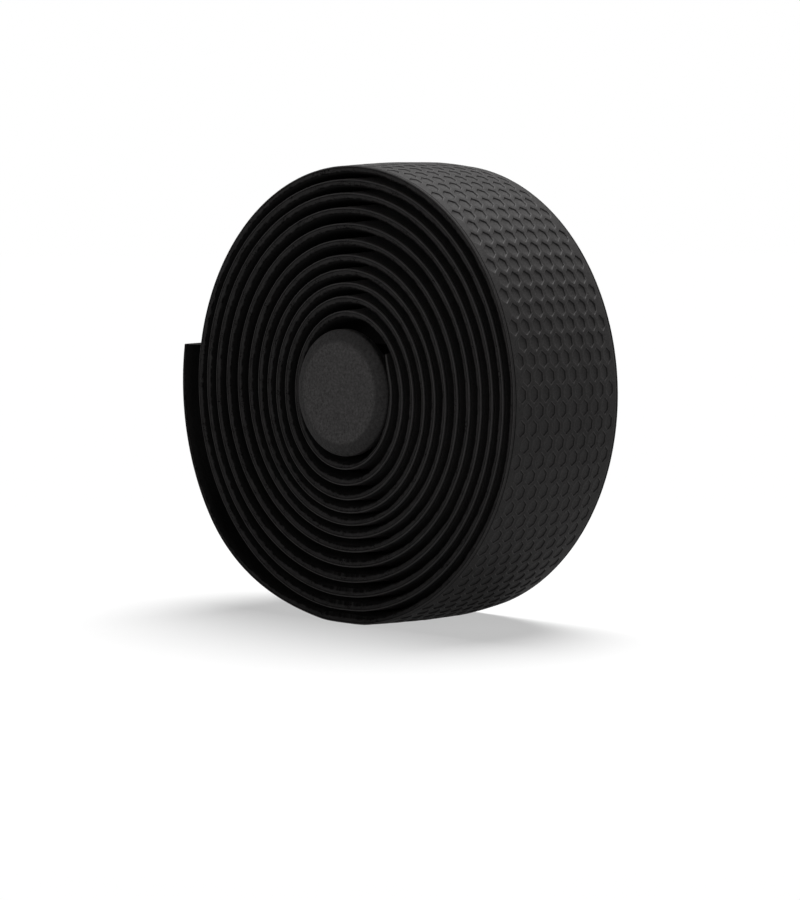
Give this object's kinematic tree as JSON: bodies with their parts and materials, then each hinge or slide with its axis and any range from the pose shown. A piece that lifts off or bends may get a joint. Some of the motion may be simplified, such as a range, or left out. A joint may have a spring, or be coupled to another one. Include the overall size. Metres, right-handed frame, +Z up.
{
  "type": "handlebar tape roll",
  "caption": "Loose roll of foam handlebar tape standing on its rim, outer end standing off as a tail, with a bar end plug nested in the hollow.",
  "frame": {"origin": "middle of the flat spot under the roll, half way across the tape", "axes": "+Z up; the roll's axis runs along Y and the plug's head faces -Y"},
  "size_m": [0.0955, 0.0311, 0.0918],
  "materials": {
    "tape_foam": "matte grained skin over closed foam",
    "plug_plastic": "fine grained matte"
  },
  "bodies": {
    "root": {"bar_tape": "tape_foam", "end_plug": "plug_plastic"}
  },
  "joints": []
}
